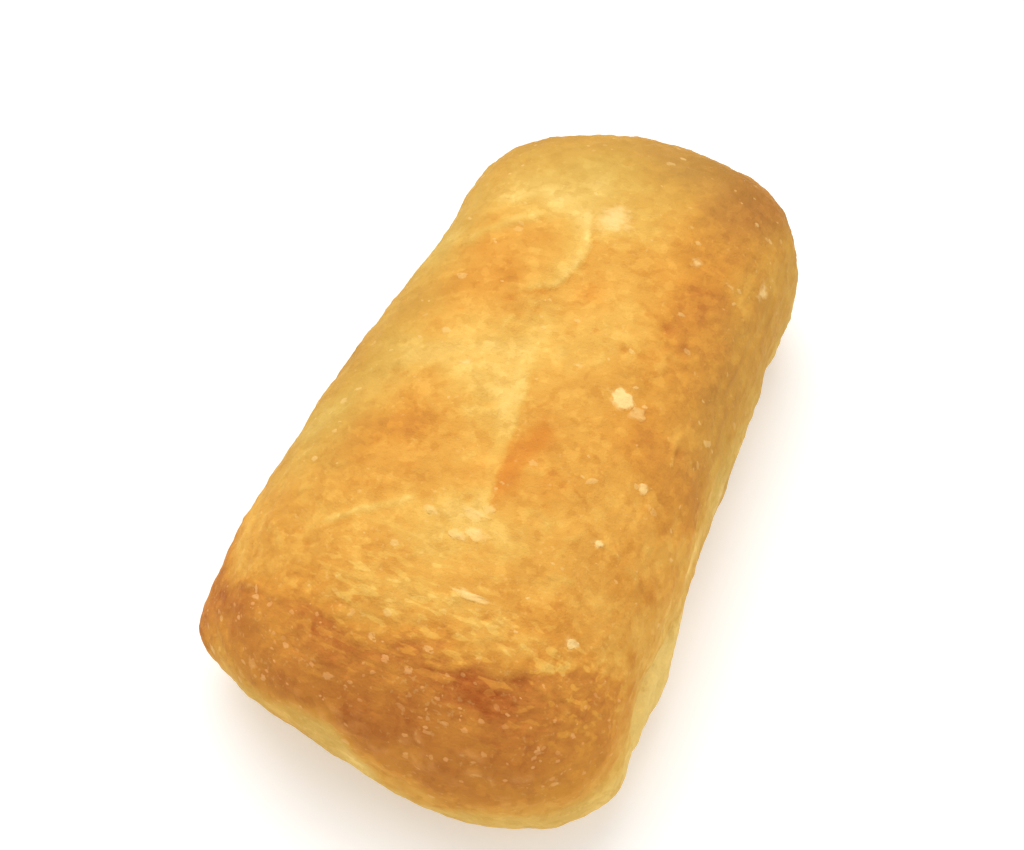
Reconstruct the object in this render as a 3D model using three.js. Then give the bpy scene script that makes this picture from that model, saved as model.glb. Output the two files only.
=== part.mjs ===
// A small ciabatta: one solid of baked dough, a long flat pillow with a domed top, bulging
// flanks, blunt ends and a flat base. Millimetres, +Z up. The origin is on the table, under the
// middle of the loaf. +Y runs along the loaf, from its broad near end to its narrower far end,
// and +X points to its right flank.
import * as THREE from 'three';
import { mergeVertices } from 'three/addons/utils/BufferGeometryUtils.js';

// Driving dimensions
const LENGTH = 150;
const HEIGHT = 48;
const NEAR_WIDTH = 92;
const WAIST_WIDTH = 81;
const FAR_WIDTH = 77;
const RIM_HEIGHT = 15; // the flanks and ends bulge furthest at this height
const BASE_INSET = 7; // the base draws in under that rim
const NEAR_SKEW = -0.03; // slant of each end, in millimetres along for each one across
const FAR_SKEW = 0.11;

// How square the dough is: 2 gives an ellipse, a larger number comes closer to a box
const SQUARENESS = { across: 2.9, near: 5.5, far: 7.5, up: 2.5 };
const UNDERCUT_POWER = 2.5; // how late the flank turns in towards the base

// Mesh cells across, along, above the rim and under it
const CELLS = { across: 30, along: 52, above: 11, under: 5 };

// Where the dough was pulled out or pressed in: a push is strongest at a place and fades with
// distance over its reach, which is given across, along and up.
const PUSHES = {
  nearLeftCorner: { at: [-42, -62, 30], reach: [18, 20, 24], push: [-3, 0, -9] },
  nearLeftTip: { at: [-44, -64, 18], reach: [14, 10, 10], push: [-4, -0.5, 0] },
  nearLeftUnder: { at: [-42, -66, 3], reach: [26, 16, 16], push: [6, 8, 0] },
  nearEndHollow: { at: [-8, -74, 8], reach: [16, 10, 16], push: [0, 2, 0] },
  nearEndMiddle: { at: [22, -74, 8], reach: [16, 10, 16], push: [0, 1, 0] },
  nearRightCorner: { at: [38, -70, 6], reach: [14, 12, 20], push: [2.5, 1, 0] },
  leftWaist: { at: [-40, 36, 25], reach: [14, 16, 30], push: [3, 0, 0] },
  farMiddle: { at: [0, 75, 30], reach: [18, 12, 30], push: [0, 4, 0] },
  farRightCorner: { at: [28, 72, 34], reach: [14, 14, 20], push: [0, 1.5, 1] },
  farRightLobe: { at: [38, 60, 20], reach: [14, 12, 22], push: [1.5, 0, 0] },
  rightNotch: { at: [40, 41, 14], reach: [12, 6, 16], push: [-1, 0, 0] },
  rightFold: { at: [44, -34, 9], reach: [12, 12, 9], push: [2.5, 0, 0] },
  rightCrease: { at: [44, -40, 22], reach: [8, 14, 6], push: [-1.5, 0, 0] },
  rightFoot: { at: [44, -57, 8], reach: [12, 6, 12], push: [3, 0, 0] },
};

// Creases in the top of the crust, each a line across and along the loaf as seen from above,
// with a half width and a depth. The seam is where the dough was folded over on itself.
const CREASES = {
  seam: { line: [[-5, 46], [0, 26], [-1, 2], [3, -18], [5, -40]], width: 4.5, depth: 1 },
  farFold: { line: [[-8, 38], [-24, 26]], width: 4, depth: 0.7 },
  leftFold: { line: [[-4, 3], [-15, 0], [-28, -11]], width: 5, depth: 0.9 },
  leftWrinkle: { line: [[-8, -36], [-22, -46]], width: 4, depth: 0.6 },
};

// A point of the cube with half side 1, drawn in until it lies on the rounded box that the
// dough fills: the sum of its coordinates, each raised to its squareness, is then 1.
function onRoundedBox(q) {
  const along = q.y < 0 ? SQUARENESS.near : SQUARENESS.far;
  const reach = (k) =>
    (k * Math.abs(q.x)) ** SQUARENESS.across +
    (k * Math.abs(q.y)) ** along +
    (k * Math.abs(q.z)) ** SQUARENESS.up;
  let inside = 0;
  let outside = 1;
  for (let halving = 0; halving < 40; halving += 1) {
    const k = (inside + outside) / 2;
    if (reach(k) > 1) outside = k;
    else inside = k;
  }
  return q.clone().multiplyScalar(inside);
}

// Half the loaf's width at a place along it, from -1 at the near end to 1 at the far one.
function halfWidth(along) {
  const taper = (FAR_WIDTH - NEAR_WIDTH) / 4;
  const flare = (FAR_WIDTH + NEAR_WIDTH) / 4 - WAIST_WIDTH / 2;
  return WAIST_WIDTH / 2 + taper * along + flare * along * along;
}

// The plain pillow over a point of the cube: from the rim up it is the upper half of a rounded
// box, and from the rim down its outline draws in towards a flat base.
function pillowPoint(q) {
  const rimLevel = (2 * CELLS.under) / (CELLS.under + CELLS.above) - 1;
  const above = Math.max(q.z - rimLevel, 0) / (1 - rimLevel);
  const below = Math.max(rimLevel - q.z, 0) / (rimLevel + 1);
  const inset = BASE_INSET * below ** UNDERCUT_POWER;
  const box = onRoundedBox(new THREE.Vector3(q.x, q.y, above));
  const x = box.x * (halfWidth(box.y) - inset);
  const skew = box.y < 0 ? NEAR_SKEW : FAR_SKEW;
  const y = box.y * (LENGTH / 2 - inset) + skew * x * box.y * box.y;
  const z = RIM_HEIGHT * (1 - below) + box.z * (HEIGHT - RIM_HEIGHT);
  return new THREE.Vector3(x, y, z);
}

// How far a crease lowers the crust at a point of the top.
function creaseDepth(p, { line, width, depth }) {
  const fromAbove = new THREE.Vector3(p.x, p.y, 0);
  const corners = line.map(([x, y]) => new THREE.Vector3(x, y, 0));
  const nearest = new THREE.Vector3();
  let distance = Infinity;
  for (let i = 1; i < corners.length; i += 1) {
    new THREE.Line3(corners[i - 1], corners[i]).closestPointToPoint(fromAbove, true, nearest);
    distance = Math.min(distance, nearest.distanceTo(fromAbove));
  }
  return depth * Math.exp(-((distance / width) ** 2));
}

// The pillow with every push and crease added. The base stays on the table, so a push lifts or
// lowers only what is above it.
function shaped(p) {
  const moved = p.clone();
  const freeToRise = Math.min(p.z / RIM_HEIGHT, 1);
  for (const { at, reach, push } of Object.values(PUSHES)) {
    const away = p.toArray().map((value, axis) => (value - at[axis]) / reach[axis]);
    const fade = Math.exp(-(Math.hypot(...away) ** 2));
    moved.x += push[0] * fade;
    moved.y += push[1] * fade;
    moved.z += push[2] * fade * freeToRise;
  }
  const isTop = p.z > HEIGHT / 2;
  for (const crease of Object.values(CREASES)) moved.z -= isTop ? creaseDepth(p, crease) : 0;
  return moved;
}

// The cube's top and four sides become the skin of the loaf. Its lower edge lies on the table,
// and one flat face, cut into triangles, closes it.
function loafGeometry() {
  const cube = new THREE.BoxGeometry(2, 2, 2, CELLS.across, CELLS.along, CELLS.above + CELLS.under);
  const underside = cube.groups.at(-1);
  const skinFaces = Array.from(cube.index.array).slice(0, underside.start);
  cube.deleteAttribute('normal');
  cube.deleteAttribute('uv');
  cube.setIndex(skinFaces);
  const loaf = mergeVertices(cube);
  const position = loaf.getAttribute('position');
  const baseEdge = [];
  const q = new THREE.Vector3();
  for (let i = 0; i < position.count; i += 1) {
    q.fromBufferAttribute(position, i);
    const p = shaped(pillowPoint(q));
    position.setXYZ(i, p.x, p.y, p.z);
    const onEdge = Math.abs(q.x) === 1 || Math.abs(q.y) === 1;
    if (q.z === -1 && onEdge) baseEdge.push({ i, place: new THREE.Vector2(p.x, p.y) });
  }
  baseEdge.sort((a, b) => a.place.angle() - b.place.angle());
  const base = THREE.ShapeUtils.triangulateShape(baseEdge.map(({ place }) => place), []);
  const baseFaces = base.flatMap(([a, b, c]) => [baseEdge[a].i, baseEdge[c].i, baseEdge[b].i]);
  loaf.setIndex([...loaf.index.array, ...baseFaces]);
  loaf.computeBoundingBox();
  const { min, max } = loaf.boundingBox;
  loaf.translate(-(min.x + max.x) / 2, -(min.y + max.y) / 2, 0);
  loaf.computeVertexNormals();
  return loaf;
}

const crust = new THREE.MeshStandardMaterial({ color: 0xdf9f4a, roughness: 0.62, metalness: 0 });
const loaf = new THREE.Mesh(loafGeometry(), crust);
loaf.name = 'loaf';

const ciabatta = new THREE.Group();
ciabatta.add(loaf);

export default ciabatta;
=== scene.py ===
# %% [markdown]
# # A ciabatta roll
# The loaf comes in as one plain solid of the right size. This lesson gives it a baked crust: first the
# camera, then a fine skin over the solid, its relief, its browning, the flour on it, and the studio round
# it. Every length is written in millimetres and multiplied by MM, because the scene is in metres.

# %% Load the solid
import math

import bpy
import numpy as np
from mathutils import Matrix, Vector, noise
from mathutils.bvhtree import BVHTree
from mathutils.kdtree import KDTree


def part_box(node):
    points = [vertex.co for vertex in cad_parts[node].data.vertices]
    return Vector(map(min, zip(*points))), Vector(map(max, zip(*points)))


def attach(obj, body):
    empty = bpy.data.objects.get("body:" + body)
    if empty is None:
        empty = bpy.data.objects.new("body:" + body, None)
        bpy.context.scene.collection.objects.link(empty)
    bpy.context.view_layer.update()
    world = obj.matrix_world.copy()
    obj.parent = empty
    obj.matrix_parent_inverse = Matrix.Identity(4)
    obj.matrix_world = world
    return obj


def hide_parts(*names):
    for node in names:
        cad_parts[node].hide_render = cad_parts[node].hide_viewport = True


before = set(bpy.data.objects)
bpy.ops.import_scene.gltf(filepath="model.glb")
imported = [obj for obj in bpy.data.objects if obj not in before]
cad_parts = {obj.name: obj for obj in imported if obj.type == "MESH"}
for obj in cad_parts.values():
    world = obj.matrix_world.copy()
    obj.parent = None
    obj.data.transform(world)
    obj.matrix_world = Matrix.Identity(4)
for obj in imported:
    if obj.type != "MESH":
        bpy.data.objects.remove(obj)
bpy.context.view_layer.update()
MM = 0.001
loaf_low, loaf_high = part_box("loaf")
print("solid loaf in mm:", [round(side / MM, 1) for side in loaf_high - loaf_low])

# %% [markdown]
# ## The camera
# The loaf is seen from above its right near corner, close enough that its far end looks narrower. A camera
# could be placed by eye, but here the angle and distance are known, so it is put on a line from the point
# that it aims at. A lens in pixels becomes a lens in millimetres by way of the sensor's width.

# %% Camera
PHOTO_WIDTH_PX = 1024
FOCAL_LENGTH_PX = 1607
CAMERA_DISTANCE = 330 * MM
AIM = Vector((-4.9, 1.7, 20)) * MM
AZIMUTH = math.radians(23.64)
ELEVATION = math.radians(57.15)

level = math.cos(ELEVATION)
to_camera = Vector((math.sin(AZIMUTH) * level, -math.cos(AZIMUTH) * level, math.sin(ELEVATION)))
camera_turn = to_camera.to_track_quat("Z", "Y").to_euler()
bpy.ops.object.camera_add(location=AIM + to_camera * CAMERA_DISTANCE, rotation=camera_turn)
camera = bpy.context.object
camera.data.lens = camera.data.sensor_width * FOCAL_LENGTH_PX / PHOTO_WIDTH_PX
camera.data.clip_start = 10 * MM
bpy.context.scene.camera = camera
print("camera lens in mm:", round(camera.data.lens, 1))

# %% [markdown]
# ## The skin
# The crust is one closed skin that follows the solid. It could be a copy of the solid, but that is made of
# uneven triangles, which show once they are displaced. A cube cut into even cells, rounded by Subdivision
# Surface and drawn on to the solid by Shrinkwrap gives small, even quads all over. They are relaxed and
# divided once more, which leaves cells of about 0.7 mm: fine enough for wrinkles made as real shape.

# %% Helpers for selecting and for modifiers
def select_only(piece):
    """Leaves one piece selected and active."""
    bpy.ops.object.select_all(action="DESELECT")
    piece.select_set(True)
    bpy.context.view_layer.objects.active = piece


def finish_with(piece, kind, **settings):
    """Adds a modifier with these settings and applies it."""
    select_only(piece)
    bpy.ops.object.modifier_add(type=kind)
    modifier = piece.modifiers[-1]
    for name, value in settings.items():
        setattr(modifier, name, value)
    bpy.ops.object.modifier_apply(modifier=modifier.name)


# %% A cube as large as the loaf
bpy.ops.object.select_all(action="DESELECT")
bpy.ops.mesh.primitive_cube_add(size=1, location=(loaf_low + loaf_high) / 2, scale=loaf_high - loaf_low)
crust = bpy.context.object
crust.name = "crust"
bpy.ops.object.transform_apply(location=True, rotation=True, scale=True)
print("cube in mm:", [round(side / MM, 1) for side in crust.dimensions])

# %% Cut it into even cells
CELLS = (8, 13, 4)  # across, along and up

bpy.ops.object.mode_set(mode="EDIT")
bpy.ops.mesh.select_mode(type="EDGE")
for axis, cells in enumerate(CELLS):
    bpy.ops.mesh.select_all(action="DESELECT")
    bpy.ops.object.mode_set(mode="OBJECT")
    for edge in crust.data.edges:
        start, end = (crust.data.vertices[i].co for i in edge.vertices)
        edge.select = abs((end - start).normalized()[axis]) > 0.9
    bpy.ops.object.mode_set(mode="EDIT")
    bpy.ops.mesh.subdivide(number_cuts=cells - 1)
bpy.ops.object.mode_set(mode="OBJECT")
print("cube cut into", len(crust.data.polygons), "cells")

# %% Round it, draw it on to the solid and divide it
finish_with(crust, "SUBSURF", levels=2, render_levels=2)
finish_with(crust, "SHRINKWRAP", target=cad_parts["loaf"], wrap_method="NEAREST_SURFACEPOINT")
finish_with(crust, "SMOOTH", factor=0.5, iterations=3)
finish_with(crust, "SUBSURF", levels=2, render_levels=2)
bpy.ops.object.shade_smooth()
print("skin:", len(crust.data.polygons), "faces")

# %% [markdown]
# ## Relief
# Wet dough is folded over on itself and stretched, so a ciabatta's crust swells, puckers and creases. It
# could be sculpted with brushes, but brushes need a hand. Here a vertex group is painted where each kind of
# relief belongs, and a Displace modifier moves the skin along its normals there, by an even amount or by a
# noise texture. A zone is painted with ease(), which is told where the zone begins and where it is full.

# %% Reading the skin
def places_of(piece):
    """Every vertex's place, in millimetres."""
    flat = np.empty(len(piece.data.vertices) * 3)
    piece.data.vertices.foreach_get("co", flat)
    return flat.reshape(-1, 3) / MM


def normals_of(piece):
    """Every vertex's normal."""
    flat = np.empty(len(piece.data.vertices) * 3)
    piece.data.vertices.foreach_get("normal", flat)
    return flat.reshape(-1, 3)


plain = places_of(crust)
plain_normals = normals_of(crust)
print("skin reaches from", plain.min(0).round(1), "to", plain.max(0).round(1), "mm")


def moved_out(since):
    """How far each vertex of the crust has moved outwards since it was at some earlier places."""
    return np.einsum("ij,ij->i", places_of(crust) - since, plain_normals)


# %% Painting zones
TOP_HEIGHTS = (18, 30)  # the flanks turn into the top between these


def ease(value, start, end):
    """Goes smoothly from 0 at start to 1 at end."""
    share = np.clip((value - start) / (end - start), 0, 1)
    return share * share * (3 - 2 * share)


def grain(places, size, seed=0):
    """Smooth noise between about -1 and 1, with lumps of a size in millimetres."""
    away = Vector((17.3, 5.1, 9.7)) * seed
    return np.array([noise.noise(Vector(place) / size + away) for place in places])


def warped_by(places, amount, size, seeds):
    """Places moved about by noise, one seed for each direction."""
    return places + amount * np.stack([grain(plain, size, seed) for seed in seeds], axis=1)


def nearness(places, at, reach):
    """1 at a place, fading to 0 over a reach in each direction; two numbers mean a place on the top."""
    fade = np.exp(-(((places[:, :len(at)] - at) / reach) ** 2).sum(1))
    return fade if len(at) == 3 else fade * ease(places[:, 2], *TOP_HEIGHTS)


# %% Moving the skin
def displace(weights, strength, texture=None, stretch=None):
    """Moves the crust along its normals by up to strength millimetres where weights are painted."""
    group = crust.vertex_groups.new(name="relief")
    for i in np.flatnonzero(weights > 0.001):
        group.add([int(i)], float(weights[i]), "REPLACE")
    settings = {"vertex_group": group.name, "strength": strength * MM, "mid_level": 0.5 if texture else 0}
    if texture:
        settings.update(texture=texture, texture_coords="LOCAL")
    if stretch:
        settings.update(texture_coords="OBJECT", texture_coords_object=stretch)
    finish_with(crust, "DISPLACE", **settings)
    crust.vertex_groups.clear()


def clouds(name, size, depth=1):
    """A soft noise texture with lumps of a size in millimetres."""
    texture = bpy.data.textures.new(name, "CLOUDS")
    texture.noise_scale = size * MM
    texture.noise_depth = depth
    texture.intensity = 1
    texture.contrast = 1.4
    return texture


def axes_for(turn, stretch):
    """An empty whose axes turn and stretch a texture."""
    bpy.ops.object.select_all(action="DESELECT")
    bpy.ops.object.empty_add(location=(0, 0, 0), rotation=(0, 0, turn))
    bpy.context.object.scale = stretch
    bpy.context.view_layer.update()
    return bpy.context.object


# %% [markdown]
# ## Swells, puckers and the pinched corner
# Gas lifts the dough in broad swells, its skin dries into small puckers, and the near left corner was
# pinched out when the loaf was shaped. Swells could be raised one by one, but soft noise in two sizes is as
# uneven as dough. It fades out towards the table, because the base lies flat. The corner is one place that
# is pulled straight out.

# %% Swells and puckers
SWELL_HEIGHT = 1.0
SWELL_SIZE = 17
PUCKER_HEIGHT = 0.65
PUCKER_SIZE = 5.5

above_foot = ease(plain[:, 2], 2, 9)
displace(above_foot, SWELL_HEIGHT, clouds("swells", SWELL_SIZE))
displace(above_foot, PUCKER_HEIGHT, clouds("puckers", PUCKER_SIZE, 2))
print("swells and puckers move the skin by up to", np.abs(moved_out(plain)).max().round(2), "mm")

# %% Pull out the pinched corner
TIP = (-44, -63, 19)
TIP_REACH = (7, 7, 6)
TIP_PULL = 1.3

displace(nearness(plain, TIP, TIP_REACH), TIP_PULL)
print("corner pulled out by", TIP_PULL, "mm")

# %% [markdown]
# ## Wrinkles and low folds
# Fine flaky wrinkles run across the near ridge, and the flanks and the far end sag in low folds. They could
# be drawn one by one, but there are too many. Noise that is stretched one way makes them all, and an empty
# lends its axes to turn and stretch it. What they move is measured, because the browning follows it later.

# %% Flaky wrinkles across the near ridge
NEAR_RIDGE_Y = -56
NEAR_RIDGE_WIDTH = 12
WRINKLE_TURN = math.radians(12)
WRINKLE_STRETCH = (2.6, 0.9, 0.9)
WRINKLE_HEIGHT = 0.6
WRINKLE_SIZE = 1.3
SMOOTHER_LEFT = 0.35  # share of the wrinkles on the left shoulder

wrinkle_axes = axes_for(WRINKLE_TURN, WRINKLE_STRETCH)
near_ridge = np.exp(-(((plain[:, 1] - NEAR_RIDGE_Y) / NEAR_RIDGE_WIDTH) ** 2)) * ease(plain[:, 2], 24, 38)
near_ridge *= SMOOTHER_LEFT + (1 - SMOOTHER_LEFT) * ease(plain[:, 0], -26, -10)
before = places_of(crust)
displace(near_ridge, WRINKLE_HEIGHT, clouds("wrinkles", WRINKLE_SIZE, 2), stretch=wrinkle_axes)
wrinkles = moved_out(before)
bpy.data.objects.remove(wrinkle_axes)
print("wrinkles from", wrinkles.min().round(2), "to", wrinkles.max().round(2), "mm")

# %% Low folds along the flanks and the far end
FOLD_STRETCH = (3, 3, 0.8)
FOLD_HEIGHT = 1.1
FOLD_SIZE = 2.6
FOLD_SHARE = 0.5  # of that height, where the flanks aren't rougher
NEAR_END_SMOOTHER = 0.7

fold_axes = axes_for(0, FOLD_STRETCH)
upright = 1 - ease(np.abs(plain_normals[:, 2]), 0.45, 0.85)
left_flank = ease(-plain[:, 0], 20, 34) * (1 - ease(plain[:, 2], 24, 32))
far_end = ease(plain[:, 1], 62, 72) * (1 - ease(plain[:, 2], 28, 36))
rougher = np.maximum(left_flank, far_end) * (1 - ease(-plain[:, 1], 46, 58))
smooth_near_end = 1 - NEAR_END_SMOOTHER * ease(-plain[:, 1], 52, 64)
sides = upright * above_foot * smooth_near_end * (FOLD_SHARE + (1 - FOLD_SHARE) * rougher)
before = places_of(crust)
displace(sides, FOLD_HEIGHT, clouds("low folds", FOLD_SIZE, 2), stretch=fold_axes)
folds = moved_out(before)
bpy.data.objects.remove(fold_axes)
print("folds from", folds.min().round(2), "to", folds.max().round(2), "mm")

# %% [markdown]
# ## Dents in the base
# Bubbles in the dough leave shallow dents where it lay on the baking stone. Balls could be cut out of the
# base, but their edges would be sharp. Round zones with steep sides, their outlines stirred by noise, are
# pressed in instead, and the base stays flat between them.

# %% Dents
DENTS = 46
DENT_DEPTH = 0.8
DENT_RADII = (0.8, 2.6)
DENT_RAGGEDNESS = 0.6
DENTED_AREA = ((-36, -68), (36, 68))

dent_dice = np.random.default_rng(5)
base = ease(-plain_normals[:, 2], 0.7, 0.98)
wander = np.stack([grain(plain, 3, 12), grain(plain, 3, 13)], axis=1)
dents = np.zeros(len(plain))
for corner in dent_dice.uniform(*DENTED_AREA, (DENTS, 2)):
    radius = dent_dice.uniform(*DENT_RADII)
    away = np.linalg.norm(plain[:, :2] + DENT_RAGGEDNESS * radius * wander - corner, axis=1)
    dents = np.maximum(dents, np.exp(-((away / radius) ** 4)))
dents *= base
displace(dents, -DENT_DEPTH)
print("dents:", DENTS)

# %% [markdown]
# ## Creases and ledges
# The dough's seam, its folds and its longer wrinkles are lines in the crust. Where one layer of dough ends
# on another, the line is a ledge, high on its left and low on its right. Edges of the mesh could be moved,
# but they don't follow these lines. So each line is laid on the crust through a few corners, and a vertex
# moves by its distance from it. Noise warps the distance, so that no line looks ruled.

# %% Lines on the crust
def surface_of(piece):
    """The piece's surface, for finding places on it."""
    return BVHTree.FromObject(piece, bpy.context.evaluated_depsgraph_get())


def on_crust(surface, corner):
    """A corner's place on the crust: straight below it if its height isn't given, else the nearest."""
    if len(corner) == 2:
        return np.array(surface.ray_cast(Vector((*corner, 100)) * MM, Vector((0, 0, -1)))[0]) / MM
    return np.array(surface.find_nearest(Vector(corner) * MM)[0]) / MM


def distance_to_line(places, corners):
    """Each place's distance from the line through some corners."""
    distance = np.full(len(places), np.inf)
    for start, end in zip(corners[:-1], corners[1:]):
        run = end - start
        share = np.clip((places - start) @ run / max(run @ run, 1e-6), 0, 1)
        distance = np.minimum(distance, np.linalg.norm(places - start - share[:, None] * run, axis=1))
    return distance


# %% Creases and folds
# Each has its corners, its half width and its height.
CREASES = {
    "seam": ([(-5, 46), (-1, 29), (0, 21), (-2, 1), (2, -17), (4, -36)], 3.0, -0.35),
    "far_fold": ([(-14, 34), (-18, 31), (-21.5, 28), (-24, 25)], 1.2, 0.55),
    "left_fold": ([(-6, 1), (-16, -1), (-21, -5), (-26, -10)], 2.4, 0.35),
    "left_wrinkle": ([(-8.5, -36.4), (-12.2, -39), (-15.3, -41), (-17.5, -43), (-21, -44.5)], 0.8, 0.35),
    "near_streak": ([(6, -50.5), (10, -49), (13, -48)], 0.7, 0.3),
    "fold_lip": ([(42, -26, 16), (42, -36, 17.5), (41.5, -42, 18.5), (42, -50, 14)], 1.1, 0.6),
    "fold_groove": ([(42, -27, 19.5), (41, -36, 21), (40.5, -43, 21.5), (41, -50, 18)], 1.2, -1.0),
    "left_flank_lip": ([(-39, 22, 13), (-41, -4, 15), (-43, -26, 12)], 1.6, 0.8),
    "left_flank_groove": ([(-38, 24, 17), (-40, -4, 19), (-42, -28, 16)], 1.4, -1.0),
    "far_end_crease": ([(-24, 71, 20), (-4, 76, 23), (14, 76, 19)], 1.6, -1.0),
}

surface = surface_of(crust)
warped = warped_by(plain, 0.8, 4, (1, 2, 3))
closeness = {}
for name, (corners, width, height) in CREASES.items():
    line = [on_crust(surface, corner) for corner in corners]
    closeness[name] = np.exp(-((distance_to_line(warped, line) / width) ** 2))
    displace(closeness[name], height)
print("creases:", ", ".join(CREASES))


# %% The two sides of a line
def left_of_line(places, corners):
    """Each place's distance from a line seen from above, negative on its right, and past its ends."""
    nearest = np.full(len(places), np.inf)
    signed = np.zeros(len(places))
    past = np.zeros(len(places))
    for start, end in zip(np.array(corners[:-1]), np.array(corners[1:])):
        run = (end - start) / np.linalg.norm(end - start)
        along = (places[:, :2] - start) @ run
        beyond = along - np.clip(along, 0, np.linalg.norm(end - start))
        aside = (places[:, 1] - start[1]) * run[0] - (places[:, 0] - start[0]) * run[1]
        distance = np.hypot(aside, beyond)
        closer = distance < nearest
        nearest = np.where(closer, distance, nearest)
        signed = np.where(closer, np.copysign(distance, aside), signed)
        past = np.where(closer, np.abs(beyond), past)
    return signed, past


# %% Ledges, where one layer of dough ends on another
NEAR_TEAR = [
    (-36, -58.5), (-28, -60), (-17, -60.5), (-10, -62), (-6, -64), (-1, -63.5),
    (2, -61.4), (9, -62.3), (14, -61.2), (20, -60), (25, -56.5),
]
HOOK = [(-6.5, 15.5), (-3, 18), (-0.6, 24), (-0.4, 31), (-3, 38)]
SEAM_EDGE = [(5, -31.5), (4.1, -27), (3.8, -20), (2.7, -15), (1.7, -8), (0.2, -2)]
# Each has its corners, its height and how far its top reaches.
LEDGES = {"near_tear": (NEAR_TEAR, 0.4, 2.5), "hook": (HOOK, 0.7, 4.5), "seam_edge": (SEAM_EDGE, 0.45, 3.0)}
LEDGE_FOOT_WIDTH = 1.2

ragged = warped_by(warped, 0.9, 1.8, (9, 10, 11))
ledge_top = {}
ledge_foot = {}
ledge_side = {}
for name, (corners, height, fade) in LEDGES.items():
    signed, past = left_of_line(ragged if name == "near_tear" else warped, corners)
    on_top = (plain[:, 2] > TOP_HEIGHTS[1]) * (1 - ease(past, 0, 3))
    top_fade = np.exp(-np.maximum(signed, 0) / fade)
    foot_fade = np.exp(-np.maximum(-signed, 0) / LEDGE_FOOT_WIDTH)
    ledge_side[name] = signed
    ledge_top[name] = ease(signed, -0.3, 0.7) * top_fade * on_top
    ledge_foot[name] = ease(-signed, -0.3, 0.5) * foot_fade * on_top
    displace(ledge_top[name], height)
print("ledges:", ", ".join(LEDGES))

# %% [markdown]
# ## Curls, grain and pores
# Up close, crust has short raised curls where its skin tore, a fine grain, and pores where bubbles burst.
# The few that are plain to see get a place of their own. The others could be a pattern in the material, but
# as real shape they catch the light, so they are scattered with a fixed seed and made like the creases.

# %% Short curls
CURLS = [
    [(5.3, -11.7), (7.5, -12), (9.2, -11.3)],
    [(30.5, -0.8), (30.8, -4.3), (30.8, -6.8)],
    [(33.5, -23.8), (35, -22.2), (35.4, -20.7)],
    [(23.8, 13.7), (25.8, 14.1), (27.8, 17.2)],
    [(-6.5, -14.7), (-4.9, -13.9), (-2, -13.5), (-0.8, -11.5)],
]
MORE_CURLS = 36
CURLED_TOP = ((-32, -54), (33, 62))
CURL_STEPS = (0.7, 1.7)
NEAR_CURLS = 56
CURLED_FACE = ((-26, 20), (38, 41))
NEAR_CURL_STEPS = (0.5, 1.1)
NEAR_CURL_SLANT = 0.5
BEYOND_NEAR_END = -80
CURL_BEND = 0.7
CURL_WIDTH = 0.65
CURL_HEIGHT = 0.3

dice = np.random.default_rng(11)


def curl_from(start, heading, bends, steps, first_axis, second_axis):
    """A line of short steps from a place, each turned from the one before."""
    curl = [start]
    for bend in dice.normal(0, CURL_BEND, bends):
        heading += bend
        way = math.cos(heading) * first_axis + math.sin(heading) * second_axis
        curl.append(curl[-1] + dice.uniform(*steps) * way)
    return curl


for corner in dice.uniform(*CURLED_TOP, (MORE_CURLS, 2)):
    heading = dice.uniform(0, math.tau)
    CURLS.append(curl_from(corner, heading, 3, CURL_STEPS, *np.eye(2)))
for x, z in dice.uniform(*CURLED_FACE, (NEAR_CURLS, 2)):
    heading = dice.normal(0, NEAR_CURL_SLANT)
    start = np.array([x, BEYOND_NEAR_END, z])
    CURLS.append(curl_from(start, heading, 2, NEAR_CURL_STEPS, np.eye(3)[0], np.eye(3)[2]))
surface = surface_of(crust)
curls = np.zeros(len(plain))
for curl in CURLS:
    away = distance_to_line(warped, [on_crust(surface, corner) for corner in curl])
    curls = np.maximum(curls, np.exp(-((away / CURL_WIDTH) ** 2)))
displace(curls, CURL_HEIGHT)
print("curls:", len(CURLS))

# %% Fine grain
GRAIN_HEIGHT = 0.34
GRAIN_SIZE = 1.5
FLANKS_SMOOTHER = 0.5

displace(above_foot * (1 - FLANKS_SMOOTHER * upright), GRAIN_HEIGHT, clouds("crust grain", GRAIN_SIZE, 1))
print("grain:", GRAIN_HEIGHT, "mm high")

# %% Pores
# Each has its place on the top, its radius and its share of the depth.
NAMED_PORES = [
    ((20.6, 19), 1.4, 1.0), ((24.7, 17), 1.2, 0.35), ((31.6, -3.6), 1.0, 0.7), ((1.2, -32), 0.6, 1.0),
    ((-3.7, -12), 1.0, 0.5), ((-3.9, 12.3), 0.8, 0.6), ((-2, 55), 0.9, 0.8), ((13.3, -21), 0.9, 0.5),
]
MORE_PORES = 24
POROUS_AREA = ((-30, -55), (30, 60))
PORE_RADII = (0.4, 0.75)
PORE_SHARE = 0.6
PORE_DEPTH = 0.7

surface = surface_of(crust)
now = places_of(crust)
pores = np.zeros(len(plain))
scattered = dice.uniform(*POROUS_AREA, (MORE_PORES, 2))
more_pores = [(corner, dice.uniform(*PORE_RADII), PORE_SHARE) for corner in scattered]
for corner, radius, amount in NAMED_PORES + more_pores:
    away = np.linalg.norm(now - on_crust(surface, corner), axis=1)
    pores = np.maximum(pores, amount * np.exp(-((away / radius) ** 2)))
displace(pores, -PORE_DEPTH)
print("pores:", len(NAMED_PORES) + MORE_PORES)

# %% Keep the base on the table
for vertex in crust.data.vertices:
    vertex.co.z = max(vertex.co.z, 0)
crust.data.update()
shape = places_of(crust)
proud = moved_out(plain)
print("relief from", proud.min().round(2), "to", proud.max().round(2), "mm")

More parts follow.
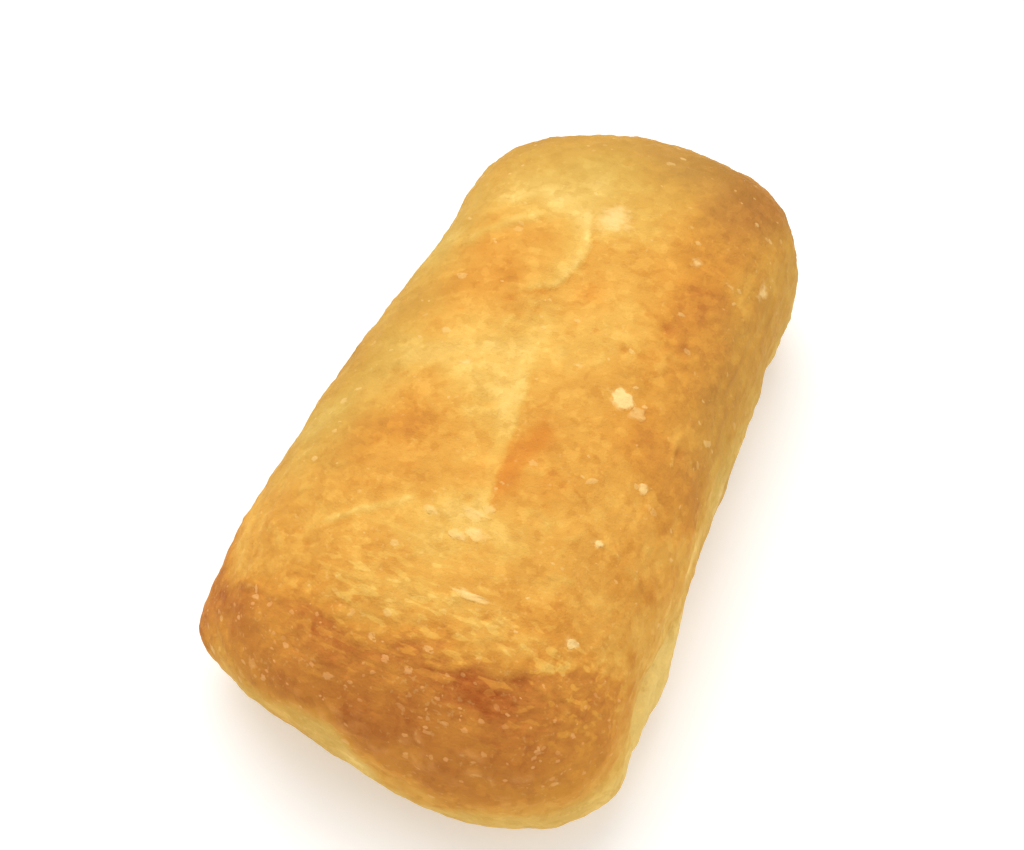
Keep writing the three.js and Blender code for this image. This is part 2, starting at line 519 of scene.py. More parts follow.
# %% [markdown]
# ## Where it browned, and painted shade
# A crust is darkest where the heat reached it first: on the ridge and face of the near end, on the far
# corner and on swells. It stays pale in the creases, and along the foot, where it touched its neighbours.
# Noise alone could colour it, but then no patch would lie where it lies on this loaf. So browning is
# painted patch by patch, as one number for each vertex, from 0 for pale dough to 1 for dark crust. That
# number also carries painted shade, darker on the right shoulder and flank, in pores and at the feet of
# ledges, and painted light, paler on the fold low on the right.

# %% Patches that baked darker or stayed paler, and patches of painted shade
# Each has its place, its reach and how much it adds.
BROWNED_AND_SHADED = {
    "far edge, right": ((16, 62), (16, 9), 0.3),
    "far edge, middle": ((7, 67), (13, 6), 0.36),
    "far edge, right of the middle": ((8, 57), (6, 5), 0.22),
    "far edge, left of the middle": ((-5, 57), (4, 4), -0.08),
    "far right corner": ((25, 58), (9, 10), 0.34),
    "far right edge": ((35, 59, 32), (5, 6, 8), -0.24),
    "far edge, left": ((-20, 60), (13, 5), 0.28),
    "far edge, face": ((0, 76, 32), (34, 6, 12), 0.32),
    "far left corner": ((-28, 49), (6, 8), 0.12),
    "far pale": ((-13, 40), (13, 6), -0.42),
    "far pale, beyond": ((-6, 50), (8, 5), -0.25),
    "far right": ((22, 45), (9, 8), 0.18),
    "far shoulder": ((23, 31), (9, 9), 0.24),
    "far shoulder, nearer": ((27, 16), (8, 12), 0.22),
    "far left patch": ((-15, 16), (9, 8), 0.1),
    "far left patch, edge": ((-21, 23), (3, 3), 0.1),
    "inside the hook": ((-10, 19), (4, 3.5), 0.06),
    "nearer than the hook": ((-6, 13), (5, 3), -0.1),
    "right of the hook": ((4, 20), (3.5, 4), 0.24),
    "right of the far patch": ((6, 40), (6, 8), -0.14),
    "left, beyond the middle": ((-27, 12), (7, 9), 0.07),
    "left edge, far": ((-31, 26, 39), (5, 7, 9), -0.32),
    "middle": ((-7, 2), (11, 8), -0.17),
    "left arm": ((-19, -5), (10, 5), -0.28),
    "nearer than the middle": ((-6, -10), (7, 6), -0.24),
    "right of the seam": ((9, 13), (6, 9), -0.07),
    "left edge": ((-35, -5), (5, 9), 0.14),
    "left edge, pale": ((-33, -24), (6, 6), -0.26),
    "left edge, nearer": ((-29, -42), (7, 7), 0.1),
    "left of the ridge": ((-31, -54), (8, 5), 0.05),
    "ridge, left": ((-20, -56), (7, 3.5), 0.2),
    # On the right shoulder and flank these patches are partly browning and partly painted shade, darker
    # where that side turns from the light.
    "right shoulder": ((27, -6), (9, 9), 0.16),
    "right side": ((30, -20), (9, 22), 0.09),
    "right flank": ((38, 14, 30), (7, 32, 11), 0.22),
    "right flank, low": ((40, 4, 23), (4, 40, 8), -0.16),
    "right foot spot": ((39, 4, 22), (6, 10, 8), -0.4),
    "right foot spot, nearer": ((40, -14, 25), (5, 7, 7), -0.18),
    "streak": ((6.8, -17.5), (3, 4.6), 0.2),
    "streak, nearer": ((5.8, -24.5), (2.6, 4.4), 0.2),
    "right of the streak": ((21, -8), (6, 6), 0.06),
    "right of the streak, nearer": ((13, -22), (4, 5), 0.12),
    "left patch": ((-15, -22), (9, 6), 0.19),
    "left patch, nearer": ((-24, -29), (9, 7), 0.13),
    "left patch, right": ((-6, -33), (5, 4), 0.1),
    "left of the seam": ((0.5, -23.5), (4, 5), 0.16),
    "seam's near end": ((4, -36), (8, 5), -0.26),
    "seam's near end, left": ((-5, -43), (6, 4), -0.14),
    "near right": ((24, -48), (7, 5), 0.16),
    "ridge, middle": ((0, -53), (8, 3), -0.1),
    "ridge, right of the middle": ((7, -59), (5, 3), 0.24),
    "near right corner": ((34, -60), (8, 7), 0.09),
    "right of the ridge": ((35, -53), (4, 4), 0.16),
    "near brow": ((4, -71, 36), (11, 6, 5), 0.12),
    "near brow, left": ((-11, -64, 41), (8, 3, 5), 0.1),
    "near brow, red": ((17, -64, 41.5), (8, 3, 4), 0.22),
    "near face, right": ((31, -66, 34), (8, 6, 6), 0.13),
    "near face, low": ((27, -72, 28), (8, 7, 8), -0.04),
    "near face, left": ((-33, -66, 26), (6, 6, 7), 0.09),
    "near face, upper left": ((-24, -63, 38), (5, 4, 4), -0.1),
    "near face, pale wedge": ((-7, -76, 27), (4, 6, 5), -0.2),
    "left tip": ((-41, -60, 24), (5, 8, 9), 0.34),
    "left tip, above": ((-34, -58, 33), (4, 5, 5), -0.1),
}
EVEN_BAKE = 0.45
PATCH_WARP = 2.2

stirred = warped_by(warped, PATCH_WARP, 9, (6, 7, 8))
bake_and_painted_shading = np.full(len(plain), EVEN_BAKE)
for at, reach, amount in BROWNED_AND_SHADED.values():
    bake_and_painted_shading += amount * nearness(stirred, at, reach)
print("bake from", bake_and_painted_shading.min().round(2), "to", bake_and_painted_shading.max().round(2), "with", len(BROWNED_AND_SHADED), "patches")

# %% The brown face of the near end
NEAR_FACE_BAKE = 0.32
NEAR_FACE_FOOT = 22
NEAR_FACE_DROP = 5  # it reaches lower on the right
NEAR_FACE_RISE = 11  # it turns brown over this height
RIGHT_CORNER_PALER = 0.7

near_face_foot = NEAR_FACE_FOOT - NEAR_FACE_DROP * ease(plain[:, 0], -6, 4)
below_tear = ease(-ledge_side["near_tear"], -4, 0.8)
near_face = below_tear * ease(plain[:, 2], near_face_foot, near_face_foot + NEAR_FACE_RISE)
bake_and_painted_shading += NEAR_FACE_BAKE * near_face * (1 - RIGHT_CORNER_PALER * ease(stirred[:, 0], 22, 36))
print("near face covers", round(near_face.mean() * 100), "% of the crust")

# %% Creases, ledges, pores and wrinkles
CREASE_PALER = {"seam": 0.08, "far_fold": 0.28, "left_fold": 0.1, "left_wrinkle": 0.27}
LEDGE_TOP_PALER = {"near_tear": 0.1, "hook": 0.3, "seam_edge": 0.14}
LEDGE_FOOT_PAINTED_SHADOW = {"near_tear": 0.05, "hook": 0.16, "seam_edge": 0.18}
PORE_PAINTED_SHADE = 0.3
CURL_PALER = 0.14
CURL_DARKER_ON_FACE = 0.06
FOLD_DARKER = 0.3  # for each millimetre that a fold stands out
WRINKLE_PALER = 0.42  # for each millimetre that a wrinkle stands out

for name, amount in CREASE_PALER.items():
    bake_and_painted_shading -= amount * closeness[name]
# Each ledge's foot is painted darker, as painted shadow under the higher layer, and its top is painted
# paler.
for name in LEDGES:
    bake_and_painted_shading += LEDGE_FOOT_PAINTED_SHADOW[name] * ledge_foot[name] - LEDGE_TOP_PALER[name] * ledge_top[name]
# The pores are painted darker: painted shade inside the holes.
bake_and_painted_shading += PORE_PAINTED_SHADE * pores
bake_and_painted_shading -= (CURL_PALER - CURL_DARKER_ON_FACE * near_face) * curls
bake_and_painted_shading += FOLD_DARKER * folds - WRINKLE_PALER * wrinkles
print("with creases and ledges, bake from", bake_and_painted_shading.min().round(2), "to", bake_and_painted_shading.max().round(2))

# %% [markdown]
# ## The pale foot and the base
# Low on the flanks the loaf hardly browned. The line where that begins rises and falls, so it is a height
# for each place across the near end, and noise elsewhere. The base lay on hot stone and is brown again. A
# height in the material could split foot from crust, but painted, it can follow the fold and the corners.

# %% The pale foot
FOOT_BAKE = 0.14
FLANK_FOOT_BAKE = 0.07  # added along the flanks
FOOT_TOP = 19
FOOT_FADES = (4, 3.5)  # below its top and above it
FLANK_FADE = 2  # added below it along the flanks
FOOT_BROWNED = (-18, -73, 17)
FOOT_BROWNED_REACH = (6, 6, 12)
FOOT_BROWNED_BAKE = 0.26
FOLD = (42, -40, 16)
FOLD_REACH = (6, 16, 8)
# The top of the foot at places across the near end.
NEAR_FOOT_LINE = [
    (-45, 11), (-36, 16), (-25, 22), (-14, 28), (-7, 30), (-3, 24),
    (4, 15), (14, 14), (22, 18), (30, 18), (38, 18),
]

near_foot_top = np.interp(stirred[:, 0], *zip(*NEAR_FOOT_LINE))
near_end = ease(-plain[:, 1], 50, 62)
foot_top = FOOT_TOP + near_end * (near_foot_top - FOOT_TOP)
flank_wave = 9 * grain(plain, 21, 4) + 3 * grain(plain, 8, 15)
foot_wave = 2 * grain(plain, 6, 5) + (1 - near_end) * flank_wave
fold = nearness(plain, FOLD, FOLD_REACH)
foot_wave *= 1 - fold
fade_from = foot_top - FOOT_FADES[0] - FLANK_FADE * (1 - near_end)
foot = 1 - ease(plain[:, 2] + foot_wave, fade_from, foot_top + FOOT_FADES[1])
foot_bake = FOOT_BAKE + FLANK_FOOT_BAKE * (1 - near_end) * (1 - fold)
foot_bake += FOOT_BROWNED_BAKE * nearness(plain, FOOT_BROWNED, FOOT_BROWNED_REACH)
bake_and_painted_shading += foot * (foot_bake - bake_and_painted_shading)
print("foot covers", round(foot.mean() * 100), "% of the crust")

# %% Folds of the flanks
FOLD_PALER_WITH_PAINTED_LIGHT = 0.42
LIP_PALER = 0.12
ROUGH_BAKE = 0.34

bake_and_painted_shading -= LIP_PALER * (closeness["fold_lip"] + closeness["left_flank_lip"])
# The fold low on the right is painted paler: paler dough, and painted light where it lies in shade.
bake_and_painted_shading -= FOLD_PALER_WITH_PAINTED_LIGHT * fold
bake_and_painted_shading += ROUGH_BAKE * rougher * grain(stirred, 12, 18)
print("mean bake of the flanks:", bake_and_painted_shading[upright > 0.5].mean().round(2))

# %% The browned base
BASE_BAKE = 0.62
BASE_BLOTCHES = 0.3
BASE_EDGE_PALER = 0.3
DENT_PALER = 0.35

base_edge = ease(np.abs(plain[:, 0]), 30, 40) + ease(np.abs(plain[:, 1]), 60, 70)
base_bake = BASE_BAKE + BASE_BLOTCHES * grain(plain, 13, 14)
base_bake -= BASE_EDGE_PALER * base_edge + DENT_PALER * dents
bake_and_painted_shading += base * (base_bake - bake_and_painted_shading)
print("all told, bake from", bake_and_painted_shading.min().round(2), "to", bake_and_painted_shading.max().round(2))

# %% [markdown]
# ## Straw and orange tones
# Where the crust dried without much browning, at the far end and along the edges, it is straw coloured, and
# right of the seam a streak baked to orange. Neither lies between pale and dark crust, so the browning
# can't give them. Each gets a number of its own, which the material lays over the browning.

# %% Straw tone
FAR_STRAW = 1.15
FAR_CORNER_BROWNER = 0.4
RIGHT_STRAW = 0.75
FOOT_STRAW = 0.3

far_straw = FAR_STRAW * ease(stirred[:, 1] - 0.1 * stirred[:, 0], 30, 58)
far_straw *= 1 - FAR_CORNER_BROWNER * ease(stirred[:, 0], 8, 28)
left_straw = ease(-stirred[:, 0], 16, 32) * ease(plain[:, 1], -52, -20)
right_straw = RIGHT_STRAW * ease(stirred[:, 0], 22, 38) * ease(plain[:, 1], -20, 10)
straw = np.max([far_straw, left_straw, right_straw, FOOT_STRAW * foot], axis=0)
print("straw tone up to", straw.max().round(2))

# %% Orange tone
STREAK = [(8.6, -13), (7.4, -17), (6.4, -21), (5.4, -26), (5, -29)]
STREAK_WIDTH = 2.4

streak_line = [on_crust(surface_of(crust), corner) for corner in STREAK]
orange = np.exp(-((distance_to_line(stirred, streak_line) / STREAK_WIDTH) ** 2))
orange *= ease(-ledge_side["seam_edge"], -0.2, 0.8)
print("orange tone up to", orange.max().round(2))

# %% [markdown]
# ## Where flour lies
# The dough was folded and rolled in flour. Some stayed on the crust as cream dabs and as a thin dusting,
# most of it in the seam, and more of it on the base. A noise could strew it anywhere, but these places
# show. So the dusting is painted as soft patches, one number for each vertex, and the material makes
# their edges ragged. All that was painted is then kept in attributes.

# %% Paint the dusting
# Each has its place, its half sizes across and along, and its amount.
DUSTED = {
    "far patch": ((1.6, 39.2), (4.8, 3.8), 1.0),
    "large dab": ((18.7, 0), (2.6, 2.1), 1.0),
    "beside it": ((22.3, -1.3), (2.0, 1.7), 0.36),
    "right": ((28.6, -14.4), (1.4, 1.1), 0.7),
    "right, nearer": ((25.7, -29.6), (1.1, 1.0), 0.75),
    "near right": ((28.6, -48.5), (1.5, 1.2), 0.7),
    "far right": ((20, 37), (1.3, 1.1), 0.8),
    "far shoulder": ((27.7, 36.6), (1.5, 0.9), 0.7),
    "far flank": ((33.3, 42.3), (1.3, 3.0), 0.95),
    "left": ((-11.5, -4.8), (1.3, 1.0), 0.9),
    "middle": ((8.2, 3.1), (1.4, 1.1), 0.8),
    "seam end": ((5.2, -38), (2.6, 1.5), 0.5),
    "seam end, left": ((2.6, -39.4), (2, 1.2), 0.45),
    "seam end, far": ((3.5, -34.2), (2.8, 1.2), 0.4),
    "seam end, right": ((5.8, -32.6), (1.3, 1.1), 0.35),
    "seam end, farther left": ((-4, -37), (1.8, 1.2), 0.35),
    "near streak": ((9.5, -49.3), (3.6, 0.8), 0.6),
    "right foot": ((40, 3, 19), (4, 7), 0.75),
}
DUST_REACH_UP = 3
BASE_DUST = 0.7
DENT_DUST = 0.5

surface = surface_of(crust)
dust = np.zeros(len(plain))
for spot, half_sizes, amount in DUSTED.values():
    reach = (*half_sizes, DUST_REACH_UP)
    dust = np.maximum(dust, amount * nearness(warped, on_crust(surface, spot), reach))
base_dust = BASE_DUST * base * ease(grain(stirred, 11, 16) + 0.5 * grain(plain, 3, 17), -0.1, 0.5)
dust = np.maximum(dust, np.maximum(base_dust, DENT_DUST * base * dents))
print("dusted:", ", ".join(DUSTED))


# %% Keep what is painted
NEAR_EVENNESS = 0.3  # the share of its unevenness that the near face loses
CURL_FLECKS = 0.2
SPRINKLE = 0.06


def paint(piece, name, values):
    """Stores one number for each vertex, which the material can read."""
    attribute = piece.data.attributes.new(name, "FLOAT", "POINT")
    attribute.data.foreach_set("value", values.astype(np.float32))


crust_paint = {
    "bake_and_painted_shading": bake_and_painted_shading,
    "proud": proud,
    "ridge": near_ridge,
    "straw": straw,
    "orange": orange,
    "evenness": NEAR_EVENNESS * near_face,
    "fleck": CURL_FLECKS * near_face * curls,
    "dust": dust,
    "sprinkle": SPRINKLE * ease(-plain[:, 1], 0, 60),
}
for name, values in crust_paint.items():
    paint(crust, name, values)
print("painted:", ", ".join(crust_paint))

# %% [markdown]
# ## The crust's finish
# Baked crust is nearly matt, and its colour is never even: blotches of a finger's width, crisp mottling of
# a few millimetres and pale flakes lie over each other. A picture could be wrapped round it, but noise on
# Object coordinates needs no file and shows no seam. It adds to the painted browning and painted shade, one
# colour ramp turns the sum into colour, its value is darkened further as painted shade of the fine relief,
# and straw, orange, peachy flecks and flour are laid over that.

# %% Helpers for the material
def linear(red, green, blue):
    """A colour given from 0 to 255, as a screen shows it, in the linear values that shaders use."""
    shares = (value / 255 for value in (red, green, blue))
    return [((s + 0.055) / 1.055) ** 2.4 if s > 0.04045 else s / 12.92 for s in shares] + [1]


def new_material(name):
    """An empty material, its tree and its shader."""
    material = bpy.data.materials.new(name)
    material.use_nodes = True
    tree = material.node_tree
    shader = tree.nodes["Principled BSDF"]
    return material, tree, shader


def add_node(tree, kind, inputs=None, **settings):
    """Adds a node, sets its options, and links or sets its inputs."""
    node = tree.nodes.new(kind)
    for name, value in settings.items():
        setattr(node, name, value)
    for name, value in (inputs or {}).items():
        if isinstance(value, bpy.types.NodeSocket):
            tree.links.new(value, node.inputs[name])
        else:
            node.inputs[name].default_value = value
    return node


# %% Helpers for values in the material
def arithmetic(tree, operation, first, second):
    """A Math node's result."""
    return add_node(tree, "ShaderNodeMath", {0: first, 1: second}, operation=operation).outputs[0]


def add_up(tree, parts):
    """The sum of some values, each times its own amount."""
    total = None
    for value, amount in parts:
        share = arithmetic(tree, "MULTIPLY", value, amount)
        total = share if total is None else arithmetic(tree, "ADD", total, share)
    return total


def noise_at(tree, place, size, detail=2.0):
    """Noise with lumps of a size in millimetres, from -0.5 to 0.5."""
    inputs = {"Vector": place, "Scale": 1 / (size * MM), "Detail": detail}
    texture = add_node(tree, "ShaderNodeTexNoise", inputs)
    return arithmetic(tree, "SUBTRACT", texture.outputs["Fac"], 0.5)


def stretched(tree, place, scale):
    """The place with a scale of its own in each direction, which stretches a pattern."""
    return add_node(tree, "ShaderNodeMapping", {"Vector": place, "Scale": scale}).outputs["Vector"]


def step_between(tree, value, low, high):
    """0 below low, 1 above high, and a smooth step between them."""
    inputs = {"Value": value, "From Min": low, "From Max": high}
    return add_node(tree, "ShaderNodeMapRange", inputs, interpolation_type="SMOOTHSTEP").outputs["Result"]


# %% Helpers for colours in the material
def colour_ramp(tree, value, colours):
    """The colour for a value, from a list of positions and colours."""
    ramp = add_node(tree, "ShaderNodeValToRGB", {"Fac": value})
    stops = ramp.color_ramp.elements
    while len(stops) < len(colours):
        stops.new(0.5)
    for stop, (position, colour) in zip(stops, colours):
        stop.position = position
        stop.color = linear(*colour)
    return ramp.outputs["Color"]


def lay_over(tree, amount, under, over):
    """One colour laid over another by an amount. A Mix node's colour sockets go by number."""
    return add_node(tree, "ShaderNodeMix", {0: amount, 6: under, 7: over}, data_type="RGBA").outputs[2]


# %% Patterns on the crust
FLOUR_COLOUR = (252, 213, 139)
STRAW_COLOUR = (188, 156, 76)
STREAK_COLOUR = (212, 131, 51)
FLECK_COLOUR = (255, 184, 114)
BAKED_COLOURS = [
    (0.0, (246, 208, 121)),
    (0.15, (234, 189, 99)),
    (0.3, (226, 175, 84)),
    (0.45, (223, 163, 73)),
    (0.6, (215, 147, 61)),
    (0.75, (202, 131, 57)),
    (0.9, (186, 110, 49)),
    (1.0, (168, 88, 37)),
]

baked, tree, shader = new_material("baked crust")
place = add_node(tree, "ShaderNodeTexCoord").outputs["Object"]
painted = {
    name: add_node(tree, "ShaderNodeAttribute", attribute_name=name).outputs["Fac"]
    for name in [*crust_paint, "flour"]
}
blotches = noise_at(tree, place, 9, 6)
mottling = noise_at(tree, place, 2.8, 4)
pale_patches = step_between(tree, noise_at(tree, place, 3.6, 3), 0.02, 0.09)
dark_patches = step_between(tree, noise_at(tree, place, 2.5, 3), 0.04, 0.11)
speckle = noise_at(tree, stretched(tree, place, (0.55, 1, 1)), 0.8, 3)
flakes = step_between(tree, noise_at(tree, stretched(tree, place, (0.35, 1, 1)), 1.5, 1.5), 0.06, 0.13)
unevenness = add_up(tree, [
    (blotches, 0.36), (mottling, 0.1), (pale_patches, -0.06), (dark_patches, 0.05), (speckle, 0.03),
])
uneven = arithmetic(tree, "MULTIPLY", unevenness, arithmetic(tree, "SUBTRACT", 1, painted["evenness"]))
flaked = arithmetic(tree, "MULTIPLY", flakes, painted["ridge"])
print("patterns:", len(tree.nodes), "nodes")

# %% Browning and painted shade turned into colour
STRAW_SHARE = 0.5
STREAK_SHARE = 0.58

# The painted number holds browning together with painted shade and painted light; the noise adds to it.
browning = add_up(tree, [(painted["bake_and_painted_shading"], 1), (painted["proud"], 0.1), (uneven, 1), (flaked, -0.16)])
crust_colour = colour_ramp(tree, browning, BAKED_COLOURS)
# The colour's value is painted darker where the unevenness browns the crust more, and varied by a fine
# noise: painted shade of the fine relief. The flakes on the near ridge are painted a little lighter.
shade = add_up(tree, [(uneven, -0.75), (noise_at(tree, place, 2.2, 3), 0.14), (flaked, 0.06)])
shade_inputs = {"Color": crust_colour, "Value": arithmetic(tree, "ADD", shade, 1)}
shaded = add_node(tree, "ShaderNodeHueSaturation", shade_inputs).outputs["Color"]
straw_amount = arithmetic(tree, "MULTIPLY", painted["straw"], STRAW_SHARE)
strawed = lay_over(tree, straw_amount, shaded, linear(*STRAW_COLOUR))
streak_amount = arithmetic(tree, "MULTIPLY", painted["orange"], STREAK_SHARE)
streaked = lay_over(tree, streak_amount, strawed, linear(*STREAK_COLOUR))
flecked = lay_over(tree, painted["fleck"], streaked, linear(*FLECK_COLOUR))
print("with colour:", len(tree.nodes), "nodes")

# %% Flour laid over the colour
dusting = add_up(tree, [(painted["dust"], 0.55), (noise_at(tree, place, 5, 3), 0.35), (speckle, 0.55)])
dusted = step_between(tree, dusting, 0.12, 0.6)
sprinkled = add_up(tree, [(noise_at(tree, place, 0.9, 1), 1), (noise_at(tree, place, 7, 2), 0.4)])
sprinkles = step_between(tree, arithmetic(tree, "ADD", sprinkled, painted["sprinkle"]), 0.2, 0.32)
flour_amount = add_up(tree, [(dusted, 0.8), (sprinkles, 0.14), (painted["flour"], 1)])
floured = lay_over(tree, flour_amount, flecked, linear(*FLOUR_COLOUR))
tree.links.new(floured, shader.inputs["Base Color"])
print("with flour:", len(tree.nodes), "nodes")

# %% Sheen and the finest pits
ROUGHNESS = 0.58
SHEEN = 0.02

roughness = add_up(tree, [(mottling, 0.3), (speckle, 0.2)])
tree.links.new(arithmetic(tree, "ADD", roughness, ROUGHNESS), shader.inputs["Roughness"])
pitted = add_up(tree, [(speckle, 0.6), (noise_at(tree, place, 0.4, 2), 0.4)])
bump = add_node(tree, "ShaderNodeBump", {"Height": pitted, "Strength": 0.6, "Distance": 0.5 * MM})
tree.links.new(bump.outputs["Normal"], shader.inputs["Normal"])
shader.inputs["Specular IOR Level"].default_value = SHEEN
crust.data.materials.append(baked)
print("crust material:", len(tree.nodes), "nodes")

# %% [markdown]
# ## Flecks
# Flakes of crust and grains of baked flour, about a millimetre across, lie on the loaf: peachy on the brown
# near face, cream on the top. They could be painted too, but as thin shapes they catch the light. A low
# fleck is modelled once from a cylinder with a narrower top, and copied. Each copy has its own ragged
# outline, and every corner of it is laid on the crust, so that no edge stands off it.

# %% A fleck to copy
SIDES = 9
TOP_SHARE = 0.55

bpy.ops.object.select_all(action="DESELECT")
bpy.ops.mesh.primitive_cylinder_add(vertices=SIDES, radius=1, depth=2, end_fill_type="TRIFAN")
fleck = bpy.context.object
bpy.ops.object.mode_set(mode="EDIT")
bpy.ops.mesh.select_all(action="DESELECT")
bpy.ops.object.mode_set(mode="OBJECT")
for vertex in fleck.data.vertices:
    vertex.select = vertex.co.z > 0
bpy.ops.object.mode_set(mode="EDIT")
bpy.ops.transform.resize(value=(TOP_SHARE, TOP_SHARE, 1))
bpy.ops.mesh.select_all(action="SELECT")
bpy.ops.mesh.quads_convert_to_tris()
bpy.ops.object.mode_set(mode="OBJECT")
fleck_corners = np.array([list(vertex.co) for vertex in fleck.data.vertices])
fleck_faces = np.array([list(face.vertices) for face in fleck.data.polygons])
fleck_turns = np.arctan2(fleck_corners[:, 1], fleck_corners[:, 0])
fleck_sides = np.round(fleck_turns * SIDES / math.tau).astype(int) % SIDES
bpy.data.objects.remove(fleck)
print("fleck:", len(fleck_faces), "faces")


# %% Laying shapes on the crust
def axes_on(normal, turn):
    """The rows are directions across, along and out of a surface, turned about the last."""
    out = Vector(normal).normalized()
    across = (Vector((1, 0, 0)) - out.x * out).normalized()
    standing = Matrix((across, out.cross(across), out)).transposed()
    return np.array(standing @ Matrix.Rotation(turn, 3, "Z")).T


def lay_on(surface, places):
    """The nearest places on a surface, in millimetres."""
    return np.array([list(surface.find_nearest(Vector(place) * MM)[0]) for place in places]) / MM


# %% Lay the flecks on the crust
FLECKS = 360
FLECK_SIZE = 0.4
FLECK_SIZE_SPREAD = 0.4
FLECK_HEIGHT = 0.035
FLECK_RAGGED = (0.75, 1.25)
FLECK_LENGTHS = (1, 2)
FLECK_SLANT = 0.5
TOP_CHANCE = 0.26  # how likely a fleck is on the top, against 1 on the near face
CREAM_AMOUNTS = (0, 0.12)
PEACH_AMOUNTS = (0.18, 0.5)
CREAM_SHARE = 0.7  # of a peachy fleck's amount, where it lies on the top

normals = normals_of(crust)
flour_corners = []
flour_faces = []
flour_amounts = []
fleck_amounts = []
chances = TOP_CHANCE + (1 - TOP_CHANCE) * ease(-shape[:, 1], 52, 64)
chances *= ease(plain_normals[:, 2], -0.1, 0.5) * ease(plain[:, 2], 12, 28)
chosen = dice.choice(len(shape), FLECKS, replace=False, p=chances / chances.sum())
is_top = fleck_corners[:, 2] > 0
for count, i in enumerate(chosen):
    outline = dice.uniform(*FLECK_RAGGED, SIDES)[fleck_sides]
    size = FLECK_SIZE * dice.lognormal(0, FLECK_SIZE_SPREAD)
    stretch = np.array([dice.uniform(*FLECK_LENGTHS), 1])
    axes = axes_on(normals[i], dice.normal(0, FLECK_SLANT))
    flat = shape[i] + (fleck_corners[:, :2] * outline[:, None] * stretch * size) @ axes[:2]
    laid = lay_on(surface, flat)
    flour_corners.append(laid + fleck_corners[:, 2:] * FLECK_HEIGHT * normals[i])
    flour_faces.append(fleck_faces + count * len(fleck_corners))
    cream = dice.uniform(*CREAM_AMOUNTS)
    peach = dice.uniform(*PEACH_AMOUNTS)
    flour_amounts.append(is_top * (cream + CREAM_SHARE * peach * (1 - near_face[i])))
    fleck_amounts.append(is_top * peach * near_face[i])
print("flecks:", len(chosen))

# %% [markdown]
# ## Dabs of flour
# A few dabs of flour are thick enough to stand up from the crust, the largest on the right. They could be
# lumps cut from the skin, but flour lies on the crust and ends in a thin, ragged rim. So each dab starts as
# an ico sphere, pressed flat, with its outline and its top made uneven by noise. It is laid on the crust
# and sunk a little, and its rim keeps the colour of the crust. Flecks and dabs are one piece.

# %% Dabs
DABS = (
    "large dab", "beside it", "right", "right, nearer", "near right", "near streak",
    "seam end", "seam end, left", "seam end, far", "seam end, right", "seam end, farther left",
)
DAB_SPREAD = 1.2  # a dab's size against its dusting's
DAB_THICKNESS = 0.2
DAB_SINK = 0.04
DAB_RAGGED = 0.5
DAB_LUMPS = 0.6
DAB_RIM = 0.13  # the colour of flour is full above this height

bpy.ops.object.select_all(action="DESELECT")
bpy.ops.mesh.primitive_ico_sphere_add(subdivisions=4, radius=1)
pebble = bpy.context.object
dab_corners = np.array([list(vertex.co) for vertex in pebble.data.vertices])
dab_faces = np.array([list(face.vertices) for face in pebble.data.polygons])
bpy.data.objects.remove(pebble)
dab_heights = dab_corners[:, 2] * np.abs(dab_corners[:, 2])
reached = sum(len(block) for block in flour_corners)
for number, name in enumerate(DABS):
    spot, half_sizes, amount = DUSTED[name]
    centre = on_crust(surface, spot)
    normal = surface.find_nearest(Vector(centre) * MM)[1]
    axes = axes_on(normal, 0)
    outline = 0.95 + DAB_RAGGED * grain(dab_corners * 1.1, 0.6, 20 + number)
    flat = centre + (dab_corners[:, :2] * outline[:, None] * half_sizes) @ axes[:2] * DAB_SPREAD
    laid = lay_on(surface, flat)
    lumpy = DAB_THICKNESS * (1 + DAB_LUMPS * grain(flat, 0.7, 40)) * dab_heights - DAB_SINK
    flour_corners.append(laid + lumpy[:, None] * np.array(normal))
    flour_faces.append(dab_faces + reached)
    flour_amounts.append(amount * ease(lumpy, 0, DAB_RIM))
    fleck_amounts.append(np.zeros(len(dab_corners)))
    reached += len(dab_corners)
print("dabs:", len(DABS))

# %% One piece of flour
flour_places = np.concatenate(flour_corners)
flour_mesh = bpy.data.meshes.new("flour")
flour_mesh.from_pydata((flour_places * MM).tolist(), [], np.concatenate(flour_faces).tolist())
flour_mesh.update()
flour = bpy.data.objects.new("flour", flour_mesh)
bpy.context.scene.collection.objects.link(flour)
select_only(flour)
bpy.ops.object.shade_smooth_by_angle(angle=math.radians(60))
print("flour:", len(flour_mesh.polygons), "faces")

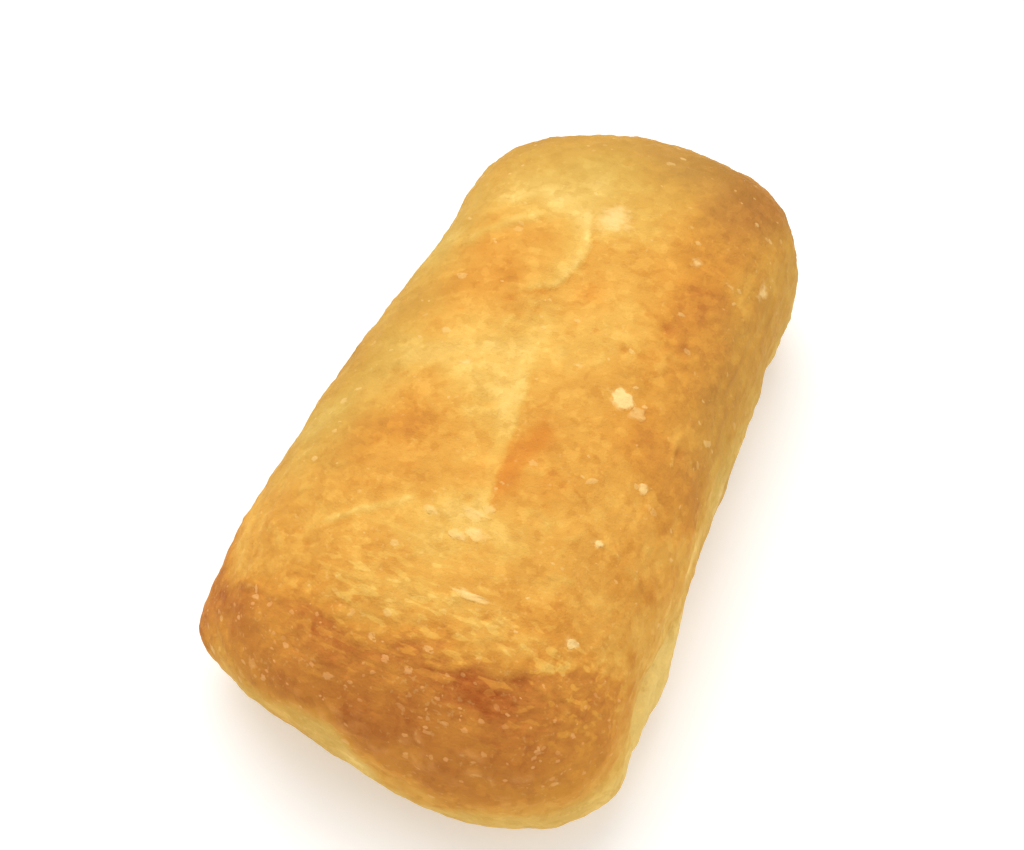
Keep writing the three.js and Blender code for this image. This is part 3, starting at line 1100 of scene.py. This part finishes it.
# %% Paint it like the crust under it
nearby = KDTree(len(shape))
for i, place_there in enumerate(shape):
    nearby.insert(place_there, i)
nearby.balance()
under = np.array([nearby.find(place_there)[1] for place_there in flour_places])
flour_paint = {name: values[under] for name, values in crust_paint.items()}
flour_paint["fleck"] = np.maximum(flour_paint["fleck"], np.concatenate(fleck_amounts))
flour_paint["flour"] = np.concatenate(flour_amounts)
for name, values in flour_paint.items():
    paint(flour, name, values)
flour.data.materials.append(baked)
print("flour amount up to", flour_paint["flour"].max().round(2))

# %% [markdown]
# ## Floor, light and world
# The loaf stands on a plain pale floor that glows a little, so that it stays white. A large soft light
# hangs above and behind its left side, and a weak one fills its right flank. One lamp would be simpler, but
# its shadows would be hard, and this loaf's are soft: the bright, even world lifts them too.

# %% Floor
FLOOR_SIDE = 6  # metres
FLOOR_DROP = 0.1 * MM  # a hair under the base, so that the two don't touch
FLOOR_GLOW = 0.25

bpy.ops.object.select_all(action="DESELECT")
bpy.ops.mesh.primitive_plane_add(size=FLOOR_SIDE, location=(0, 0, -FLOOR_DROP))
floor = bpy.context.object
floor.name = "floor"
paper, tree, shader = new_material("pale floor")
shader.inputs["Base Color"].default_value = linear(236, 236, 236)
shader.inputs["Roughness"].default_value = 0.9
shader.inputs["Emission Color"].default_value = (1, 1, 1, 1)
shader.inputs["Emission Strength"].default_value = FLOOR_GLOW
floor.data.materials.append(paper)
print("floor in m:", [round(side, 1) for side in floor.dimensions[:2]])


# %% Lights and world
WORLD_STRENGTH = 0.6


def soft_light(place, size, energy):
    """A square light at a place in metres, which faces the loaf."""
    bpy.ops.object.light_add(type="AREA", location=place)
    light = bpy.context.object
    light.rotation_euler = Vector(light.location).to_track_quat("Z", "Y").to_euler()
    light.data.size = size
    light.data.energy = energy


soft_light(place=(-0.3, 0.35, 0.9), size=0.9, energy=7.8)
soft_light(place=(0.55, -0.1, 0.5), size=0.6, energy=0.6)

world = bpy.data.worlds.new("studio")
world.use_nodes = True
world.node_tree.nodes["Background"].inputs["Color"].default_value = (1, 1, 1, 1)
world.node_tree.nodes["Background"].inputs["Strength"].default_value = WORLD_STRENGTH
bpy.context.scene.world = world
bpy.context.scene.view_settings.view_transform = "Standard"
print("lights:", len(bpy.data.lights))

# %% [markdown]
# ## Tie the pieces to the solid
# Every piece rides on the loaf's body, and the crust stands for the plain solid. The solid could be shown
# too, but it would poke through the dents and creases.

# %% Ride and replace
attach(crust, "root")
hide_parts("loaf")
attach(flour, "root")
